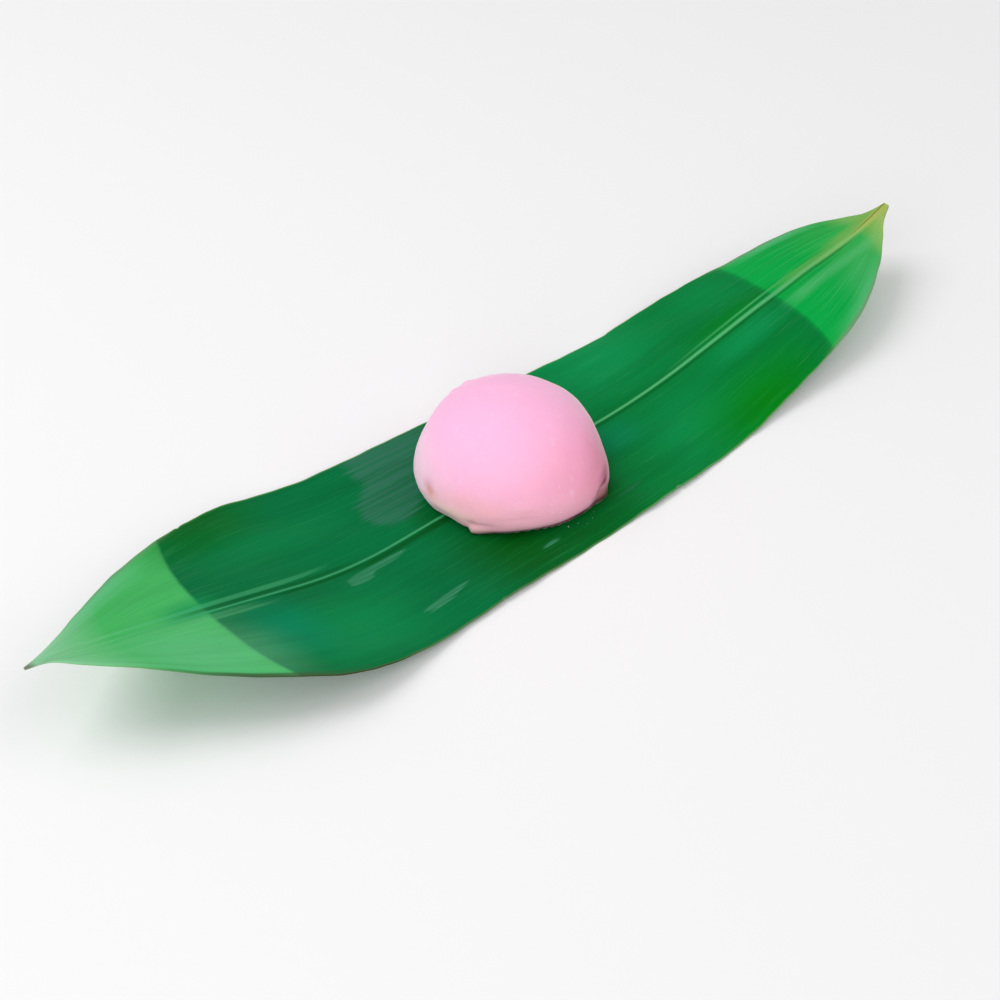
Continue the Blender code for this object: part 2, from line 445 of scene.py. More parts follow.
# The hem is scalloped where the skin meets the leaf: middle angle, half angle, depth
HEM_SCALLOPS = (
    (248.0, 34.0, 0.70),
    (350.0, 60.0, 0.25),
    (110.0, 80.0, 0.20),
)
HEM_HEIGHT = 2.2
# Their width sways by this much, in these waves round the hem, each with its lead
HEM_SWAY = 0.12
HEM_WAVES = ((7.0, 0.0), (11.0, 1.0))
# A scallop's mean rise, so that the hem keeps its place
HEM_MEAN = 0.64

# Tones of the dough, laid over its pink in this order, and where each lies: angle, height share,
# half angle, half height share, strength
DOUGH_TONES = {
    # deeper pink of the right side: partly the dough's own, partly painted shade
    "rose": ((305.0, 0.35, 90.0, 0.75, 1.0),),
    # painted warm light low at the front and the low left
    "warm": (
        (232.0, 0.10, 80.0, 0.42, 0.9),
        (236.0, 0.52, 80.0, 0.50, 0.35),
        (198.0, 0.28, 34.0, 0.26, 0.7),
    ),
    "flour": (
        (150.0, 0.30, 52.0, 0.48, 0.8),
        (340.0, 0.55, 40.0, 0.45, 0.5),
    ),
    "beige": ((192.0, 0.18, 24.0, 0.14, 0.8),),
    # painted shade along the hem, where the skin turns under
    "skirt": ((246.0, 0.02, 50.0, 0.12, 0.9),),
    "lip": ((211.0, 0.03, 13.0, 0.10, 0.9),),
    "smudge": (
        (176.0, 0.28, 10.0, 0.11, 0.42),
        (175.5, 0.28, 4.5, 0.06, 0.3),
    ),
    # deep rose: painted shade in the crease over the lip and in the tucked seam, and the reddish
    # edge round the smudge
    "crease": (
        (173.0, 0.34, 8.0, 0.10, 0.25),
        (206.0, 0.16, 5.0, 0.05, 0.3),
        (304.0, 0.19, 14.0, 0.13, 0.6),
        (300.0, 0.15, 9.0, 0.05, 0.8),
        (291.0, 0.11, 9.0, 0.055, 0.6),
    ),
    # brown of the flap under the seam, darkened with painted shade in its hollow
    "seam": ((296.0, 0.03, 14.0, 0.11, 1.8),),
    # painted contact shadow: a near black line along the foot at the right and the front
    "foot": (
        (283.0, 0.0, 40.0, 0.09, 2.6),
        (238.0, 0.0, 48.0, 0.085, 2.4),
    ),
}

# Unevenness in the colour and the skin of the dough: size, detail
UNEVENNESS = (
    ("clouds", 14.0, 3.0),
    ("dust", 2.2, 5.0),
    ("pits", 0.7, 3.0),
)
# How tones and starch follow it, and how dull it leaves the skin: two values, the effect at each
TONE_CLOUDS = (0.25, 0.75, 0.75, 1.0)
STARCH_DUST = (0.56, 0.80, 0.0, 0.25)
SKIN_SHEEN = (0.3, 0.8, 0.55, 0.8)

# Points round the mochi crowd towards its front hem
MOCHI_SEGMENTS = 400
MOCHI_RINGS = 132
DOME_RINGS = 120
RING_CROWDING = 1.3
SEGMENT_CROWDING = 0.5
CROWDED_ANGLE = 250.0

# Lumps of the dough, kept off the hem: they begin and are full at these shares of the height
LUMP_WIDTH = 9.0
LUMP_HEIGHT = 0.5
LUMP_MIDDLE = 0.55
LUMPS_BEGIN = (0.02, 0.12)

# Points of the leaf crowd towards both ends and towards the midrib
LEAF_ROWS = 350
LEAF_COLUMNS = 92
ROW_CROWDING = 0.5
COLUMN_CROWDING = 0.5

# Faces that meet at less than these angles shade smoothly
SMOOTH_LEAF = 50.0
SMOOTH_MOCHI = 60.0

# Starch: its middle place and spread on the mochi, as an angle and as a share of the height,
# which stays between two limits, and on the leaf, along it and across it
STARCH_SEED = 11
STARCH_ANGLE = (255.0, 7.0)
STARCH_HEIGHT = (0.35, 0.08)
STARCH_LIMITS = (0.08, 0.6)
STARCH_ALONG = (0.5, 3.0)
STARCH_ACROSS = (-28.8, 0.8)
# Shares of the grain size: the smallest grain, how high it sits and how lumpy it is
GRAIN_LEAST = 0.35
GRAIN_SEAT = 0.3
GRAIN_LUMPS = 0.25

# Soft lights: setting, side and distance in metres, angle round the mochi, elevation
LAMPS = (
    ("key", 0.75, 1.15, 128.0, 57.0),
    ("left_fill", 1.1, 1.3, 208.0, 20.0),
    ("right_fill", 1.1, 1.3, 320.0, 42.0),
)
# Floor: its side in metres, and the gap between it and the leaf in millimetres
FLOOR_SIDE = 9.0
FLOOR_GAP = 0.02

# The photograph's camera, in degrees, millimetres and shares of the frame
CAMERA_AZIMUTH = -41.5
CAMERA_ELEVATION = 41.5
CAMERA_LENS = 70.0
CAMERA_SENSOR = 36.0
CAMERA_DISTANCE = 552.4
ORIGIN_RIGHT = 0.007
ORIGIN_UP = 0.023

# Short names for what the materials add most
MATH = "ShaderNodeMath"
RANGE = "ShaderNodeMapRange"
MIX = "ShaderNodeMix"
NOISE = "ShaderNodeTexNoise"
SMOOTH = {"interpolation_type": "SMOOTHSTEP"}
TIMES = {"operation": "MULTIPLY"}
TIMES_PLUS = {"operation": "MULTIPLY_ADD"}
# A Mix node of colours, and its sockets
COLOURS = {"data_type": "RGBA", "out": 2}
SHARE, UNDER, OVER = 0, 6, 7


def linear(hex_colour):
    """Turn an sRGB hex value into a linear colour, solid all through."""
    channels = [int(hex_colour[i:i + 2], 16) / 255.0 for i in (1, 3, 5)]
    return (*(c / 12.92 if c <= 0.04045 else ((c + 0.055) / 1.055) ** 2.4 for c in channels), 1.0)


def colour(name, description, hex_colour):
    """A colour that a user can change."""
    return FloatVectorProperty(name=name, description=description, default=linear(hex_colour),
                               size=4, min=0.0, max=1.0, subtype="COLOR")


def length(name, description, millimetres):
    """A length that a user can change, kept in metres."""
    return FloatProperty(name=name, description=description, default=millimetres * MM,
                         min=0.0, precision=5, unit="LENGTH")


def power(name, description, watts):
    """The power of a light, which a user can change."""
    return FloatProperty(name=name, description=description, default=watts, min=0.0, unit="POWER")


def number(name, description, count):
    """A number of pieces that a user can change."""
    return IntProperty(name=name, description=description, default=count, min=1)


def ramp(past, soft):
    """Zero before the bend, rising one for one after it, eased over the soft length."""
    if past <= -soft:
        return 0.0
    if past >= soft:
        return past
    return (past + soft) ** 2 / (4.0 * soft)


def bump(value, centre, half):
    """One at the centre and zero beyond the half length, with a round top."""
    share = (value - centre) / half
    if abs(share) >= 1.0:
        return 0.0
    return (1.0 - share * share) ** 2


def fade(value, start, end):
    """Zero before the start, one after the end, smooth between."""
    share = min(1.0, max(0.0, (value - start) / (end - start)))
    return share * share * (3.0 - 2.0 * share)


def between(table, x, column=1):
    """Read a column of a table that starts with places, straight between its rows."""
    for before, after in zip(table, table[1:]):
        if x <= after[0]:
            share = max(0.0, (x - before[0]) / (after[0] - before[0]))
            return before[column] + share * (after[column] - before[column])
    return table[-1][column]


@lru_cache(maxsize=None)
def half_width(x, side):
    """Half width at x from a smooth curve through the outline; side 1 is +Y and 2 is -Y."""
    last = len(OUTLINE) - 1
    k = 0
    while k < last - 1 and x > OUTLINE[k + 1][0]:
        k += 1

    def slope(i):
        before = OUTLINE[max(0, i - 1)]
        after = OUTLINE[min(last, i + 1)]
        return (after[side] - before[side]) / (after[0] - before[0])

    span = OUTLINE[k + 1][0] - OUTLINE[k][0]
    t = min(1.0, max(0.0, (x - OUTLINE[k][0]) / span))
    smooth = (
        OUTLINE[k][side] * (2 * t ** 3 - 3 * t ** 2 + 1)
        + slope(k) * span * (t ** 3 - 2 * t ** 2 + t)
        + OUTLINE[k + 1][side] * (3 * t ** 2 - 2 * t ** 3)
        + slope(k + 1) * span * (t ** 3 - t ** 2)
    )
    sign = 1.0 if side == 1 else -1.0
    waver = sum(WAVER_MIDDLE + sin(2.0 * pi * x / wave + side) for wave in WAVER_LENGTHS)
    waver *= EDGE_WAVER * fade(smooth, *WAVER_WIDTHS)
    nick = sum(depth * bump(x, at, half) for way, at, half, depth in NICKS if way == sign)
    return smooth - waver - nick


def midrib_place(x):
    """The y of the midrib at x."""
    return sum(sway * bump(x, centre, half) for centre, half, sway in MIDRIB_SWAYS)


def leaf_height(x, share):
    """Height of the underside at x; share is 0 at the midrib, 1 and -1 at the two edges."""
    out = abs(share)
    rise = sum(slope * ramp(at - x, soft) for at, soft, slope in TIP_BENDS)
    rise += sum(slope * ramp(x - at, soft) for at, soft, slope in STALK_BENDS)
    rise += sum(edge * bump(x, at, half) * out ** 2 for at, half, edge in EDGE_CURVES)
    rise += sum(edge * bump(x, at, half) * out for at, half, edge in FOLDS)
    ends = fade(STALK_X - x, *RIPPLE_ENDS) * fade(x - TIP_X, *RIPPLE_ENDS)
    ripple = 0.5 - 0.5 * cos(2.0 * pi * x / RIPPLE_LENGTH)
    rise += RIPPLE_RISE * ripple * ends * out ** 4

    # the swells leave the midrib and the seat of the mochi alone
    y = share * WIDEST_HALF
    clear = fade(sqrt((x - MOCHI_X) ** 2 + y ** 2), *SWELL_BEYOND_MOCHI)
    clear *= fade(out, *SWELL_BESIDE_RIB)
    for wave, waves, lead, height in SWELLS:
        swell = 0.5 + 0.5 * cos(2.0 * pi * ((x - lead) / wave + waves * share))
        rise += height * swell * clear * ends
    return rise


def side_rib(x):
    """How far the finer rib lies from the midrib at x, its half width and how strongly it shows."""
    table = SIDE_RIBS[0] if x < 0.0 else SIDE_RIBS[1]
    return [between(table, x, column) for column in (1, 2, 3)]


def line_strength(name, x, from_midrib):
    """How strongly the lines of this colour show here, from 0 to 1."""
    strength = 0.0
    for start, end, out, half, most in LINES[name]:
        shown = fade(x, start, start + LINE_EASE) * (1.0 - fade(x, end - LINE_EASE, end))
        strength = max(strength, most * shown * bump(from_midrib, out, half))
    return strength


def green_course(x, share):
    """The place along the leaf that decides its green here: borders bow at the edges."""
    bows = TIP_BOWS if x < 0.0 else STALK_BOWS
    return x * (1.0 + bows[0 if share >= 0.0 else 1] * abs(share) ** 3)


def leaf_thickness(x, share, from_midrib, settings):
    """Thickness of the blade: thin at its margin, thick at its midrib and its stalk."""
    leaf, margin, rise = (v / MM for v in (settings.thickness, settings.margin, settings.rib_rise))
    thick = leaf + (margin - leaf) * fade(abs(share), MARGIN_BEGINS, 1.0)
    clear = fade(x, PRESSED_TO, PRESSED_TO + PRESSED_EASE)
    clear += 1.0 - fade(x, PRESSED_FROM - PRESSED_EASE, PRESSED_FROM)
    half = min(between(MIDRIB_WIDTHS, x), MIDRIB_MOST * half_width(x, 2))
    thick += clear * rise * bump(from_midrib, 0.0, half)
    thick -= clear * GROOVE_DEPTH * bump(from_midrib, -GROOVE_OUT, GROOVE_HALF)
    out, half, strength = side_rib(x)
    thick += strength * SIDE_RIB_RISE * bump(from_midrib, out, half)
    coarse = settings.coarse_veins / MM
    vein = 0.5 + 0.5 * cos(2.0 * pi * share * WIDEST_HALF / coarse)
    thick += VEIN_RISE * vein ** 3 * (1.0 - fade(abs(share), *VEIN_ENDS))
    stub = fade(x, STALK_X - STALK_STUB, STALK_X - STALK_STUB + STUB_EASE)
    return max(thick, stub * (leaf + rise))


def leaf_tone(tone, x, share):
    """How strongly a tone lies over the green here, from 0 to 1."""
    return min(1.0, sum(
        strength * bump(x, at, half) * bump(share, across, half_across)
        for at, across, half, half_across, strength in ALL_TONES[tone]
    ))


def turned(angle, at):
    """The angle past a place on the round, in degrees from -180 to 180."""
    return (degrees(angle) - at + 180.0) % 360.0 - 180.0


def polar_at(height):
    """Where down the mochi a share of its height is reached, as dome_point takes it."""
    turn = acos(height ** (CROWN_POWER / 2.0))
    return (1.0 - (1.0 - turn / (0.5 * pi)) ** (1.0 / RING_CROWDING)) * DOME_RINGS / MOCHI_RINGS


def dome_point(polar, angle, settings):
    """Place of a point of the mochi; polar runs from 0 at the crown to 1 under the middle."""
    dome_share = DOME_RINGS / MOCHI_RINGS
    dome = min(1.0, polar / dome_share)
    under = max(0.0, (polar - dome_share) / (1.0 - dome_share))
    turn = 0.5 * pi * (1.0 - (1.0 - dome) ** RING_CROWDING)
    height = max(0.0, cos(turn)) ** (2.0 / CROWN_POWER)
    radius = MOCHI_HALF_WIDTH * sin(turn)

    # the foot draws in, more on one side, so the mochi bulges over it
    draw = FOOT_DRAW_IN + FOOT_LEAN * cos(angle - radians(FOOT_LEAN_ANGLE))
    radius *= 1.0 - draw * (1.0 - min(1.0, height / FOOT_SHARE)) ** 2
    for count, amount, lead in LOBES:
        radius *= 1.0 + amount * (1.0 - height) * cos(count * (angle - radians(lead)))
    for _, at_angle, at_height, half_angle, half_height, out in FINGER_MARKS + SKIN_MARKS:
        away = bump(turned(angle, at_angle), 0.0, half_angle)
        radius += out * away * bump(height, at_height, half_height)

    way = degrees(angle) % 360.0
    for _, starts, full, going, gone, out, low in STEPPED_FOLDS:
        shown = fade(way, starts, full) * (1.0 - fade(way, going, gone))
        radius += out * shown * bump(height, 0.0, low)

    # a small round turns the side into the flat underside, with the scalloped hem over it
    tall = (MOCHI_HIGH.z - LEAF_LOW.z - settings.leaf_top) / MM - FOOT_CLEARANCE
    z = tall * height
    if z < FOOT_ROUND:
        radius -= FOOT_ROUND * (1.0 - sqrt(1.0 - (1.0 - z / FOOT_ROUND) ** 2))
    pitch = degrees(settings.scallop / MM / MOCHI_HALF_WIDTH)
    sway = HEM_SWAY * sum(sin(count * angle + lead) for count, lead in HEM_WAVES)
    fold = abs(sin(pi * (degrees(angle) / pitch + sway)))
    for middle, half, depth in HEM_SCALLOPS:
        here = bump(turned(angle, middle), 0.0, half) * (1.0 - fade(z, 0.0, HEM_HEIGHT))
        radius += depth * here * (fold - HEM_MEAN)
    radius *= 1.0 - under
    base = settings.leaf_top / MM + FOOT_CLEARANCE
    return Vector((MOCHI_X + radius * cos(angle), MOCHI_Y + radius * sin(angle), base + z)), height


def dough_tone(tone, angle, height):
    """How strongly a tone lies over the pink here, from 0 to 1."""
    return min(1.0, sum(
        strength * bump(turned(angle, at), 0.0, half) * bump(height, up, half_height)
        for at, up, half, half_height, strength in DOUGH_TONES[tone]
    ))


class BambooLeafSettings(bpy.types.PropertyGroup):
    thickness: length("Thickness", "Thickness of the blade away from its midrib", 0.4)
    margin: length("Margin thickness", "Thickness of the blade at its margin", 0.2)
    rib_rise: length("Midrib rise", "How far the midrib stands out of the upper face", 0.35)
    coarse_veins: length("Coarse vein spacing", "Distance between the stronger long veins", 4.6)
    fine_veins: length("Fine vein spacing", "Distance between the fine long veins", 0.95)
    left_green: colour("Left green", "The blade from the tip end to the mochi", "#006A3A")
    deep_green: colour("Deep green", "The blade from the mochi to the stalk end", "#007434")
    # Painted light: the tip, apex and stalk greens, and in part the neck green, are lighter as with
    # light coming through the blade
    tip_green: colour("Tip green", "The light green of the tip end", "#48B862")
    apex_green: colour("Apex green", "The paler green of the point", "#9CD6AE")
    stalk_green: colour("Stalk green", "The fresh green of the stalk end", "#02A443")
    neck_green: colour("Neck green", "The green before the stub of the stalk", "#34A84C")
    stub_green: colour("Stub green", "The yellow green of the stub", "#A8B85E")
    # Painted light: the midrib at the point, the tip and the border is lighter in the same way
    rib_apex: colour("Midrib at the point", "The pale midrib at the point of the leaf", "#A4D6AC")
    rib_tip: colour("Midrib at the tip", "The pale midrib of the tip end", "#60C67E")
    rib_border: colour("Midrib at the border", "The midrib where the light tip begins", "#40AA72")
    rib_left: colour("Midrib on the left", "The midrib from the tip end to the mochi", "#3C9C66")
    rib_right: colour("Midrib on the right", "The midrib from the mochi to the stalk", "#50B06E")
    rib_stalk: colour("Midrib at the stalk", "The yellow green midrib near the stalk", "#80BC66")
    vein_green: colour("Vein green", "The fine lengthwise veins", "#009A48")
    # Painted shade: the dark lines on the -Y side of the midrib stand for shade in its groove
    dark_green: colour("Dark green", "The dark lines beside the midrib", "#004C10")
    pale_green: colour("Pale green", "The pale lines beside the midrib", "#6CC488")
    olive: colour("Olive", "The yellow green band beside the midrib near the stalk", "#74A850")
    russet: colour("Russet", "The thin dry line on the midrib near the stalk", "#6C7A26")
    margin_green: colour("Margin green", "The thin pale line along the edge", "#74A862")
    # Painted light: greyer green that stands for light coming through the thin edges of both ends
    rim: colour("Rim", "Greyer green along the edges of both ends", "#709670")
    # Painted shade of the near edge where it curls under
    curl: colour("Curled edge", "Dark green where the near edge curls under", "#3C5A38")
    # Painted shadow: the dark line along the near edge stands for shadow
    dry: colour("Dry edge", "The thin dark line where the edge is dry", "#3C3A1C")
    fresh: colour("Fresh green", "Lighter green where the blade is clean", "#0A9252")
    teal: colour("Blue green", "Bluer green beyond the light tip and right of the mochi", "#00845E")
    sun: colour("Sunlit green", "Yellower green, mostly along the near edge", "#007C06")
    # Painted shadow: the shaded green stands for the shadow of the mochi on the leaf
    shade: colour("Shaded green", "Olive green, mostly before the mochi", "#004C00")
    mist: colour("Mist", "Paler, bluer green towards the edges of both ends", "#78CC9C")
    straw: colour("Straw", "Yellower green where the blade runs into its stalk", "#84BC66")
    # Painted reflection: pale streaks of sheen on the blade
    haze: colour("Haze", "Pale streaks of wax", "#3A8662")
    # Grey wax bloom, with painted reflections in it
    wax: colour("Wax bloom", "Grey wax beside the mochi", "#326E58")
    dry_point: colour("Dry point", "The grey, dry point of the tip", "#8C8A7C")
    inner_light: colour("Light inside", "The tint of light that comes through the blade", "#8EDB5A")


class MochiSettings(bpy.types.PropertyGroup):
    leaf_top: length("Top of the leaf", "Height of the leaf that the mochi sits on", 0.4)
    scallop: length("Scallop width", "Distance between the small folds of the hem", 2.7)
    pink: colour("Pink", "The lilac pink of the rice dough", "#F8B6DA")
    # Partly painted shade: the right side is deeper pink where it turns from the light
    rose: colour("Rose", "The deeper pink of the right side", "#EA92AF")
    # Painted light: warm light low at the front of the dough
    warm: colour("Warm pink", "The warmer pink low at the front", "#FFBAC9")
    flour: colour("Flour", "Starch left on the skin", "#F2D6E4")
    beige: colour("Beige", "Bare dough low on the left", "#EFD0C6")
    # Painted shade: greyer dough along the hem, where the skin turns under
    skirt: colour("Skirt", "Greyer dough along the hem", "#DDA6B4")
    lip: colour("Lip", "Tan dough of the lip", "#CDB0A2")
    smudge: colour("Smudge", "A small brown smudge", "#E0987C")
    # Painted shade in the creases and the tucked seam, and the reddish edge of the smudge
    crease: colour("Crease", "Deep rose in the tucked seam", "#A23C5C")
    # Brown of the flap, darkened with painted shade in the hollow of the seam
    seam: colour("Seam", "Brown dough of the flap", "#96685E")
    # Painted shadow: the dark line along the foot is the contact shadow under the hem
    foot: colour("Foot", "Moist dough along the foot, at the right and the front", "#2E1610")


class StarchSettings(bpy.types.PropertyGroup):
    on_mochi: number("Grains on the mochi", "Grains of starch left on the dough", 20)
    on_leaf: number("Grains on the leaf", "Grains of starch that fell on the leaf", 5)
    grain: length("Grain size", "Half width of a large grain of starch", 0.15)
    tinted: colour("Tinted starch", "Starch that took on a little pink", "#F6E2EC")
    white: colour("White starch", "Clean starch", "#FFFAFD")


class StageSettings(bpy.types.PropertyGroup):
    floor: colour("Floor", "The pale floor", "#ECEBEC")
    fibre: colour("Fibre", "The slightly darker fibres of the floor", "#DAD8D8")
    key: power("Key light", "Power of the soft light at the left, a little behind", 5.8)
    left_fill: power("Left fill", "Power of the soft light at the left of the camera", 8.8)
    right_fill: power("Right fill", "Power of the soft light at the right", 4.2)
    surround: FloatProperty(
        name="Surround", description="Strength of the even light of the room",
        default=0.5, min=0.0)


def add(tree, kind, inputs=(), out=0, **settings):
    """Add a shader node with its settings, link or set its inputs, and give one of its outputs."""
    made = tree.nodes.new(kind)
    for name, value in settings.items():
        setattr(made, name, value)
    for key, value in inputs.items() if isinstance(inputs, dict) else enumerate(inputs):
        if isinstance(value, bpy.types.NodeSocket):
            tree.links.new(value, made.inputs[key])
        else:
            made.inputs[key].default_value = value
    return made.outputs[out] if made.outputs else None


def new_material(name):
    """A new material, its empty node tree and the place on the piece."""
    material = bpy.data.materials.new(name)
    material.use_nodes = True
    tree = material.node_tree
    tree.nodes.clear()
    return material, tree, add(tree, "ShaderNodeTexCoord", out="Object")


def leaf_streaks(tree, along, across):
    """Noise drawn out along the blade, for each kind of streak."""
    streaks = {}
    for name, long, wide, detail in STREAKS:
        stretched = add(tree, "ShaderNodeCombineXYZ", (
            add(tree, MATH, (along, long), operation="DIVIDE"),
            add(tree, MATH, (across, wide), operation="DIVIDE")))
        streaks[name] = add(
            tree, NOISE, {"Vector": stretched, "Scale": 1.0, "Detail": detail}, out="Fac")
    return streaks


def leaf_veins(tree, across, settings):
    """Lengthwise veins, one in the middle of each stripe of the blade."""
    veins = {}
    for name, spacing, half in (
            ("fine", settings.fine_veins / MM, FINE_VEIN),
            ("coarse", settings.coarse_veins / MM, COARSE_VEIN)):
        away = add(tree, MATH, (across, 0.5 * spacing), operation="PINGPONG")
        veins[name] = add(tree, RANGE, (away, 0.0, half * spacing, 1.0, 0.0), **SMOOTH)
    return veins


def leaf_greens(tree, course, settings, table):
    """Greens that follow one another along the leaf, at the places of the table."""
    greens = add(tree, "ShaderNodeValToRGB", (course,))
    stops = greens.node.color_ramp.elements
    for _ in table[2:]:
        stops.new(0.5)
    for stop, (x, name) in zip(stops, table):
        stop.position = (x - TIP_X) / (STALK_X - TIP_X)
        stop.color = getattr(settings, name)
    return greens


def leaf_material(settings):
    """Fresh bamboo leaf: satin and waxy, with fine long veins; light glows through its ends."""
    material, tree, place = new_material("fresh bamboo leaf")
    metres = add(tree, "ShaderNodeSeparateXYZ", (place,))
    along = add(tree, MATH, (metres, 1.0 / MM), **TIMES)
    marks = {
        name: add(tree, "ShaderNodeAttribute", out="Fac", attribute_name=name)
        for name in (*LEAF_MARKS, *LINES, *ALL_TONES)
    }
    across = add(tree, MATH, (marks["share"], WIDEST_HALF), **TIMES)

    streaks = leaf_streaks(tree, along, across)
    seen = {
        name: add(tree, RANGE, (streaks[kind], *numbers), **SMOOTH)
        for name, kind, *numbers in STREAK_MARKS
    }
    veins = leaf_veins(tree, across, settings)

    # how far a place lies in either end of the blade
    ends = [add(tree, RANGE, (along, start, end, 0.0, 1.0), **SMOOTH) for start, end in GLOW_ENDS]
    at_ends = add(tree, MATH, ends, operation="MAXIMUM")

    # greens by place along the leaf, lighter at both ends with painted light, with borders that
    # fray a little
    frayed = add(tree, MATH, (streaks["fine"], FRAY, marks["course"]), **TIMES_PLUS)
    course = add(tree, RANGE, (frayed, TIP_X, STALK_X, 0.0, 1.0))
    green = leaf_greens(tree, course, settings, GREENS)
    rib_green = leaf_greens(tree, course, settings, RIB_GREENS)

    # tones over the green, the wax and the painted sheen broken into streaks with ragged ends
    for tone in LEAF_TONES:
        amount = marks[tone]
        if tone in ("haze", "wax"):
            ragged = add(tree, MATH, (streaks["fine"], RAGGED, amount), **TIMES_PLUS)
            solid = add(tree, RANGE, (ragged, *WAX_AND_SHEEN_BEGINS, 0.0, 1.0), **SMOOTH)
            amount = add(tree, MATH, (solid, seen["broken"]), **TIMES)
        shade = getattr(settings, tone)
        green = add(tree, MIX, {SHARE: amount, UNDER: green, OVER: shade}, **COLOURS)

    # how much shows of the ribs and of the edge
    near_rib = add(tree, MATH, (marks["on_midrib"],), operation="ABSOLUTE")
    rib_line = add(tree, RANGE, (near_rib, *MIDRIB_LINE), **SMOOTH)
    near_side = add(tree, MATH, (marks["on_side_rib"],), operation="ABSOLUTE")
    side_line = add(tree, RANGE, (near_side, *SIDE_RIB_LINE), **SMOOTH)
    out = add(tree, MATH, (marks["share"],), operation="ABSOLUTE")
    margin = add(tree, RANGE, (out, *MARGIN_LINE, 0.0, MARGIN_STRENGTH), **SMOOTH)
    # edge bands: painted light through the edges, painted shade of the curled edge, painted shadow
    # along the near edge
    edges = []
    for name, begins, full in EDGE_BANDS:
        band = add(tree, RANGE, (out, begins, full, 0.0, 1.0), **SMOOTH)
        band = add(tree, MATH, (band, marks[name]), **TIMES)
        edges.append((band, getattr(settings, name)))

    # veins, scratches, ribs, edge and point, from the lowest to the topmost: how much, what colour
    lines = (
        (seen["deeper"], settings.dark_green),
        (add(tree, MATH, (veins["fine"], seen["thin"]), **TIMES), settings.vein_green),
        (add(tree, MATH, (veins["coarse"], COARSE_STRENGTH), **TIMES), settings.vein_green),
        (add(tree, MATH, (seen["light"], at_ends), **TIMES), settings.pale_green),
        (seen["scratch"], rib_green),
        *((marks[name], getattr(settings, name)) for name in LINES if name != "russet"),
        (add(tree, MATH, (side_line, marks["side_rib"]), **TIMES), rib_green),
        (rib_line, rib_green),
        (marks["russet"], settings.russet),
        (margin, settings.margin_green),
        *edges,
        (add(tree, RANGE, (along, *DRY_POINT, DRY_STRENGTH, 0.0), **SMOOTH), settings.dry_point),
    )
    for amount, shade in lines:
        green = add(tree, MIX, {SHARE: amount, UNDER: green, OVER: shade}, **COLOURS)

    # fine relief: hairs over the streaks, and the fine veins
    relief = add(tree, MATH, (streaks["hair"], 0.4, streaks["fine"]), **TIMES_PLUS)
    relief = add(tree, MATH, (veins["fine"], 0.3, relief), **TIMES_PLUS)
    normal = add(tree, "ShaderNodeBump", {"Strength": 0.5, "Distance": 0.05 * MM, "Height": relief})
    blade = add(tree, "ShaderNodeBsdfPrincipled", {
        "Base Color": green, "Normal": normal,
        "Roughness": add(tree, RANGE, (streaks["fine"], *LEAF_SHEEN)),
        "IOR": 1.42, "Specular IOR Level": 0.06})
    lit = add(tree, MIX, {SHARE: INNER_TINT, UNDER: green, OVER: settings.inner_light}, **COLOURS)
    glow = add(tree, "ShaderNodeBsdfTranslucent", {"Color": lit})
    through = add(tree, RANGE, (at_ends, 0.0, 1.0, GLOW_LEAST, GLOW_MOST))
    add(tree, "ShaderNodeOutputMaterial", {
        "Surface": add(tree, "ShaderNodeMixShader", (through, blade, glow))})
    return material


def dough_material(settings):
    """Steamed rice dough dusted with starch: matte, soft, slightly see-through, with tiny pits."""
    material, tree, place = new_material("steamed rice dough")
    lumps = {
        name: add(
            tree, NOISE, {"Vector": place, "Scale": 1.0 / (size * MM), "Detail": detail}, out="Fac")
        for name, size, detail in UNEVENNESS
    }
    uneven = add(tree, RANGE, (lumps["clouds"], *TONE_CLOUDS), **SMOOTH)
    pink = settings.pink
    # tones over the pink; some are painted light and shade: shade on the right side, along the hem,
    # in the creases and the seam and at the foot, and warm light low at the front
    for tone in DOUGH_TONES:
        mark = add(tree, "ShaderNodeAttribute", out="Fac", attribute_name=tone)
        amount = add(tree, MATH, (mark, uneven), **TIMES)
        shade = getattr(settings, tone)
        pink = add(tree, MIX, {SHARE: amount, UNDER: pink, OVER: shade}, **COLOURS)
    dusted = add(tree, RANGE, (lumps["dust"], *STARCH_DUST), **SMOOTH)
    pink = add(tree, MIX, {SHARE: dusted, UNDER: pink, OVER: settings.flour}, **COLOURS)

    relief = add(tree, MATH, (lumps["dust"], 0.22, lumps["clouds"]), **TIMES_PLUS)
    relief = add(tree, MATH, (lumps["pits"], 0.10, relief), **TIMES_PLUS)
    normal = add(tree, "ShaderNodeBump", {"Strength": 0.5, "Distance": 0.5 * MM, "Height": relief})
    dough = add(tree, "ShaderNodeBsdfPrincipled", {
        "Base Color": pink, "Normal": normal, "IOR": 1.4, "Specular IOR Level": 0.25,
        "Roughness": add(tree, RANGE, (lumps["dust"], *SKIN_SHEEN)),
        "Subsurface Weight": 0.35, "Subsurface Radius": (1.0, 0.45, 0.55),
        "Subsurface Scale": 3.0 * MM,
        "Sheen Weight": 1.0, "Sheen Roughness": 0.2, "Sheen Tint": (1.0, 0.95, 0.97, 1.0)})
    add(tree, "ShaderNodeOutputMaterial", {"Surface": dough})
    return material


def starch_material(settings):
    """Potato starch: a dry, chalky white powder."""
    material, tree, place = new_material("potato starch")
    grain = add(tree, NOISE, {"Vector": place, "Scale": 1.0 / (0.15 * MM)}, out="Fac")
    white = add(tree, MIX, {SHARE: grain, UNDER: settings.tinted, OVER: settings.white}, **COLOURS)
    powder = add(tree, "ShaderNodeBsdfPrincipled", {"Base Color": white, "Roughness": 0.95})
    add(tree, "ShaderNodeOutputMaterial", {"Surface": powder})
    return material


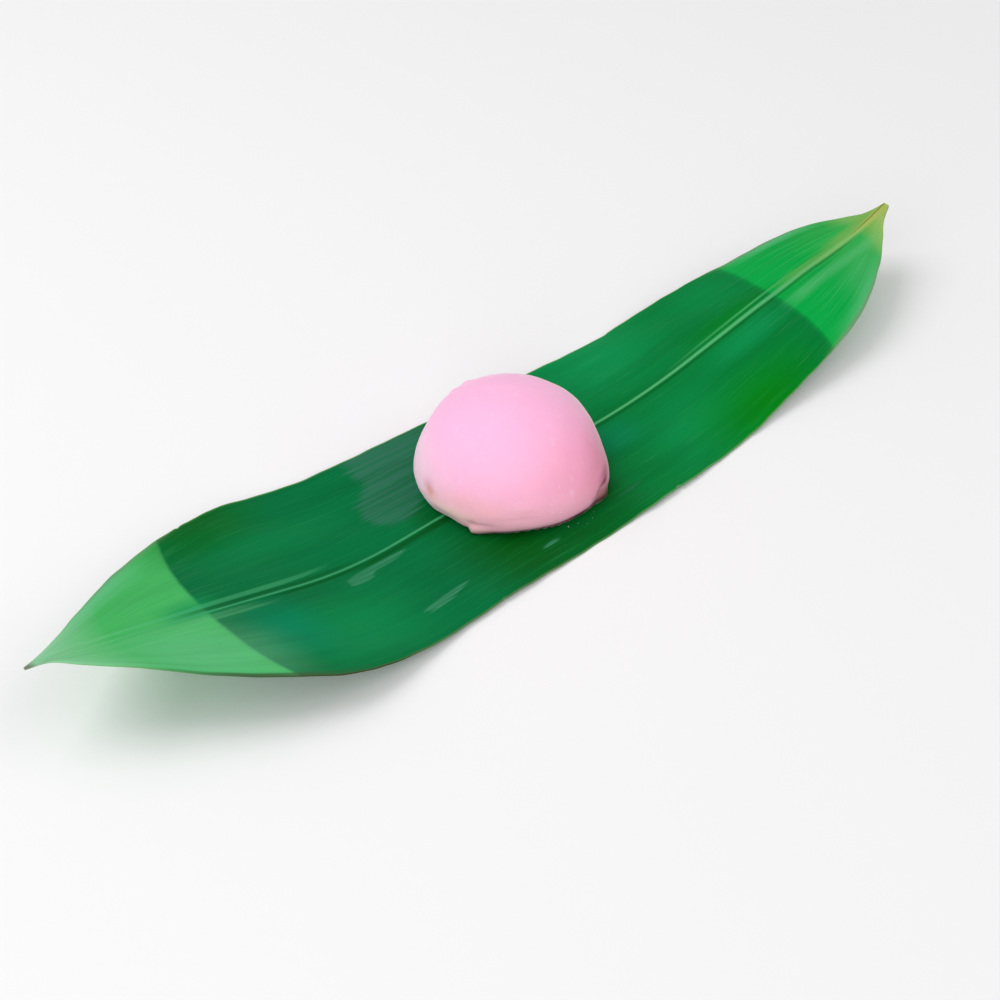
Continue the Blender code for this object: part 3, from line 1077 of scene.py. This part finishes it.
def floor_material(settings):
    """Matte studio paper, pale and even."""
    material, tree, place = new_material("matte studio paper")
    fibre = add(tree, NOISE, {"Vector": place, "Scale": 300.0, "Detail": 2.0}, out="Fac")
    amount = add(tree, RANGE, (fibre, 0.3, 0.7, 0.0, 0.02))
    shade = add(tree, MIX, {SHARE: amount, UNDER: settings.floor, OVER: settings.fibre}, **COLOURS)
    paper = add(tree, "ShaderNodeBsdfPrincipled", {"Base Color": shade, "Roughness": 0.9})
    add(tree, "ShaderNodeOutputMaterial", {"Surface": paper})
    return material


def only(thing):
    """Make this object the one that operators act on."""
    bpy.ops.object.select_all(action="DESELECT")
    thing.select_set(True)
    bpy.context.view_layer.objects.active = thing


def new_primitive(operator, name, **sizes):
    """Add a primitive with nothing else selected, and name it."""
    bpy.ops.object.select_all(action="DESELECT")
    operator(**sizes)
    piece = bpy.context.active_object
    piece.name = name
    piece.data.name = name
    return piece


def store(mesh, marks):
    """Keep lists of numbers, one for each point of the mesh, under their names."""
    for name, values in marks.items():
        layer = mesh.attributes.new(name, "FLOAT", "POINT")
        layer.data.foreach_set("value", values)


def weigh(piece, name, weights):
    """Give the piece a vertex group with these weights."""
    group = piece.vertex_groups.new(name=name)
    for index, weight in enumerate(weights):
        group.add((index,), weight, "REPLACE")
    return group.name


def hand_over(piece, material, slot, *nodes):
    """Give a finished piece its material and its body, and hide the nodes that it stands for; the
    slot is not used.
    """
    piece.data.materials.clear()
    piece.data.materials.append(material)
    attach(piece, "root")
    if nodes:
        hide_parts(*nodes)


class SWEET_OT_bamboo_leaf(bpy.types.Operator):
    """Model the long bamboo leaf that the mochi is served on"""

    bl_idname = "sweet.bamboo_leaf"
    bl_label = "Bamboo leaf"

    def execute(self, context):
        settings = context.scene.sweet_leaf
        leaf = new_primitive(
            bpy.ops.mesh.primitive_grid_add, "leaf_blade",
            x_subdivisions=LEAF_ROWS, y_subdivisions=LEAF_COLUMNS, size=1.0)
        full = (settings.thickness + settings.rib_rise) / MM
        marks = {name: [] for name in (*LEAF_MARKS, *LINES, *ALL_TONES)}
        weights = []
        for vert in leaf.data.vertices:
            row = vert.co.x + 0.5
            column = 2.0 * vert.co.y
            # rows crowd towards both ends, columns towards the midrib
            along = row - ROW_CROWDING * sin(2.0 * pi * row) / (2.0 * pi)
            x = TIP_X + (STALK_X - TIP_X) * along
            share = column * (COLUMN_CROWDING + (1.0 - COLUMN_CROWDING) * abs(column))
            middle = midrib_place(x)
            side = 1 if share >= 0.0 else 2
            half = half_width(x, side) + (middle if side == 2 else -middle)
            from_midrib = share * half
            vert.co = Vector((x, middle + from_midrib, leaf_height(x, share))) * MM
            out, width, strength = side_rib(x)
            leaning = from_midrib - RIB_LEAN * fade(x, 0.0, PRESSED_TO)
            on_midrib = leaning / between(MIDRIB_WIDTHS, x)
            on_side_rib = (from_midrib - out) / width
            values = (share, green_course(x, share), on_midrib, on_side_rib, strength)
            for name, value in zip(LEAF_MARKS, values):
                marks[name].append(value)
            for name in LINES:
                marks[name].append(line_strength(name, x, from_midrib))
            for name in ALL_TONES:
                marks[name].append(leaf_tone(name, x, share))
            weights.append(leaf_thickness(x, share, from_midrib, settings) / full)
        store(leaf.data, marks)

        only(leaf)
        thicken = leaf.modifiers.new("leaf thickness", "SOLIDIFY")
        thicken.thickness = full * MM
        thicken.offset = 1.0
        thicken.vertex_group = weigh(leaf, "thickness", weights)
        thicken.thickness_vertex_group = 0.0
        bpy.ops.object.modifier_apply(modifier=thicken.name)
        bpy.ops.object.shade_smooth_by_angle(angle=radians(SMOOTH_LEAF))
        hand_over(leaf, leaf_material(settings), "leaf", "bamboo_leaf")
        return {"FINISHED"}


class SWEET_OT_mochi(bpy.types.Operator):
    """Model the rice cake with its scalloped hem, its lip and its tucked seam"""

    bl_idname = "sweet.mochi"
    bl_label = "Mochi"

    def execute(self, context):
        settings = context.scene.sweet_mochi
        mochi = new_primitive(
            bpy.ops.mesh.primitive_uv_sphere_add, "mochi_dough",
            segments=MOCHI_SEGMENTS, ring_count=MOCHI_RINGS, radius=1.0)
        marks = {tone: [] for tone in DOUGH_TONES}
        weights = []
        for vert in mochi.data.vertices:
            polar = acos(max(-1.0, min(1.0, vert.co.z))) / pi
            round_place = atan2(vert.co.y, vert.co.x)
            angle = round_place - SEGMENT_CROWDING * sin(round_place - radians(CROWDED_ANGLE))
            point, height = dome_point(polar, angle, settings)
            vert.co = point * MM
            for tone in DOUGH_TONES:
                marks[tone].append(dough_tone(tone, angle, height))
            weights.append(fade(height, *LUMPS_BEGIN))
        store(mochi.data, marks)

        only(mochi)
        lumps = bpy.data.textures.new("lumps of the dough", "CLOUDS")
        lumps.noise_scale = LUMP_WIDTH * MM
        uneven = mochi.modifiers.new("uneven skin", "DISPLACE")
        uneven.texture = lumps
        uneven.texture_coords = "LOCAL"
        uneven.strength = LUMP_HEIGHT * MM
        uneven.mid_level = LUMP_MIDDLE
        uneven.vertex_group = weigh(mochi, "above the hem", weights)
        bpy.ops.object.modifier_apply(modifier=uneven.name)
        bpy.ops.object.shade_smooth_by_angle(angle=radians(SMOOTH_MOCHI))
        hand_over(mochi, dough_material(settings), "rice_dough", "mochi")
        return {"FINISHED"}


class SWEET_OT_starch(bpy.types.Operator):
    """Scatter loose grains of starch on the mochi and on the leaf before it"""

    bl_idname = "sweet.starch"
    bl_label = "Starch"

    def execute(self, context):
        settings = context.scene.sweet_starch
        chance = Random(STARCH_SEED)
        material = starch_material(settings)
        low, high = STARCH_LIMITS
        on_mochi = []
        for _ in range(settings.on_mochi):
            height = min(high, max(low, chance.gauss(*STARCH_HEIGHT)))
            angle = radians(chance.gauss(*STARCH_ANGLE))
            on_mochi.append(dome_point(polar_at(height), angle, context.scene.sweet_mochi)[0])
        self.scatter(context, "starch_on_mochi", on_mochi, "mochi_dough", chance, material)
        on_leaf = [
            Vector((chance.gauss(*STARCH_ALONG), chance.gauss(*STARCH_ACROSS), 1.0))
            for _ in range(settings.on_leaf)
        ]
        self.scatter(context, "starch_on_leaf", on_leaf, "leaf_blade", chance, material)
        return {"FINISHED"}

    def scatter(self, context, name, places, carrier, chance, material):
        """One grain copied to every place, each with its own size and turn, joined as one piece."""
        surface = bpy.data.objects[carrier]
        grain = new_primitive(
            bpy.ops.mesh.primitive_ico_sphere_add, name, subdivisions=2, radius=1.0)
        mesh = bmesh.new()
        for place in places:
            found, seat, normal, _ = surface.closest_point_on_mesh(place * MM)
            if not found:
                raise RuntimeError("no surface under a grain of starch")
            share = GRAIN_LEAST + (1.0 - GRAIN_LEAST) * chance.random() ** 2
            size = context.scene.sweet_starch.grain * share
            turn = chance.random() * 2.0 * pi
            before = len(mesh.verts)
            mesh.from_mesh(grain.data)
            mesh.verts.ensure_lookup_table()
            for vert in mesh.verts[before:]:
                lump = sin(5.0 * vert.co.x + turn) * cos(4.0 * vert.co.y + 2.0 * turn)
                grown = vert.co * (1.0 + GRAIN_LUMPS * lump)
                vert.co = seat + normal * (GRAIN_SEAT * size) + grown * size
        mesh.to_mesh(grain.data)
        mesh.free()
        only(grain)
        bpy.ops.object.shade_smooth()
        hand_over(grain, material, "rice_dough")


class SWEET_OT_stage(bpy.types.Operator):
    """Set up the pale floor, the soft lights and the camera"""

    bl_idname = "sweet.stage"
    bl_label = "Stage"

    def execute(self, context):
        settings = context.scene.sweet_stage
        floor = new_primitive(
            bpy.ops.mesh.primitive_plane_add, "studio_floor", size=FLOOR_SIDE,
            location=(0.0, 0.0, LEAF_LOW.z - FLOOR_GAP * MM))
        floor.data.materials.append(floor_material(settings))
        for name, *place in LAMPS:
            self.light(context, name.replace("_", " "), getattr(settings, name), *place)
        world = bpy.data.worlds.new("studio")
        world.use_nodes = True
        surround = world.node_tree.nodes["Background"]
        surround.inputs["Color"].default_value = (1.0, 1.0, 1.0, 1.0)
        surround.inputs["Strength"].default_value = settings.surround
        context.scene.world = world
        context.scene.view_settings.view_transform = "Standard"
        self.camera(context)
        return {"FINISHED"}

    def light(self, context, name, watts, size, distance, plan_angle, elevation):
        """A square soft light that faces the mochi."""
        lamp = bpy.data.lights.new(name, "AREA")
        lamp.energy = watts
        lamp.size = size
        lamp.shape = "SQUARE"
        holder = bpy.data.objects.new(name, lamp)
        context.scene.collection.objects.link(holder)
        plan, rise = radians(plan_angle), radians(elevation)
        away = Vector((cos(plan) * cos(rise), sin(plan) * cos(rise), sin(rise)))
        holder.location = away * distance
        holder.rotation_euler = away.to_track_quat("Z", "Y").to_euler()

    def camera(self, context):
        """The photograph's viewpoint: the origin stands a little right of and above the middle."""
        turn, rise = radians(CAMERA_AZIMUTH), radians(CAMERA_ELEVATION)
        right = Vector((cos(turn), sin(turn), 0.0))
        back = Vector((sin(turn) * cos(rise), -cos(turn) * cos(rise), sin(rise)))
        up = back.cross(right)
        view_width = CAMERA_DISTANCE * CAMERA_SENSOR / CAMERA_LENS
        lens = bpy.data.cameras.new("photograph")
        lens.lens = CAMERA_LENS
        lens.sensor_width = CAMERA_SENSOR
        lens.clip_start = 0.01
        holder = bpy.data.objects.new("photograph", lens)
        context.scene.collection.objects.link(holder)
        aim = -right * (ORIGIN_RIGHT * view_width) - up * (ORIGIN_UP * view_width)
        holder.location = (aim + back * CAMERA_DISTANCE) * MM
        holder.rotation_euler = back.to_track_quat("Z", "Y").to_euler()
        context.scene.camera = holder


class SWEET_PT_panel(bpy.types.Panel):
    """The pieces of the sweet, in the order in which they are made"""

    bl_idname = "SWEET_PT_panel"
    bl_label = "Strawberry mochi"
    bl_space_type = "VIEW_3D"
    bl_region_type = "UI"
    bl_category = "Sweets"

    def draw(self, context):
        for piece in PIECES:
            self.layout.operator(piece.bl_idname)


PIECES = (SWEET_OT_bamboo_leaf, SWEET_OT_mochi, SWEET_OT_starch, SWEET_OT_stage)
SETTINGS = {
    "sweet_leaf": BambooLeafSettings,
    "sweet_mochi": MochiSettings,
    "sweet_starch": StarchSettings,
    "sweet_stage": StageSettings,
}


def register():
    for name, group in SETTINGS.items():
        bpy.utils.register_class(group)
        setattr(bpy.types.Scene, name, PointerProperty(type=group))
    for kind in (*PIECES, SWEET_PT_panel):
        bpy.utils.register_class(kind)


def unregister():
    for kind in (SWEET_PT_panel, *reversed(PIECES)):
        bpy.utils.unregister_class(kind)
    for name, group in SETTINGS.items():
        delattr(bpy.types.Scene, name)
        bpy.utils.unregister_class(group)


def main():
    register()
    bpy.ops.sweet.bamboo_leaf()
    bpy.ops.sweet.mochi()
    bpy.ops.sweet.starch()
    bpy.ops.sweet.stage()


if __name__ == "__main__":
    main()
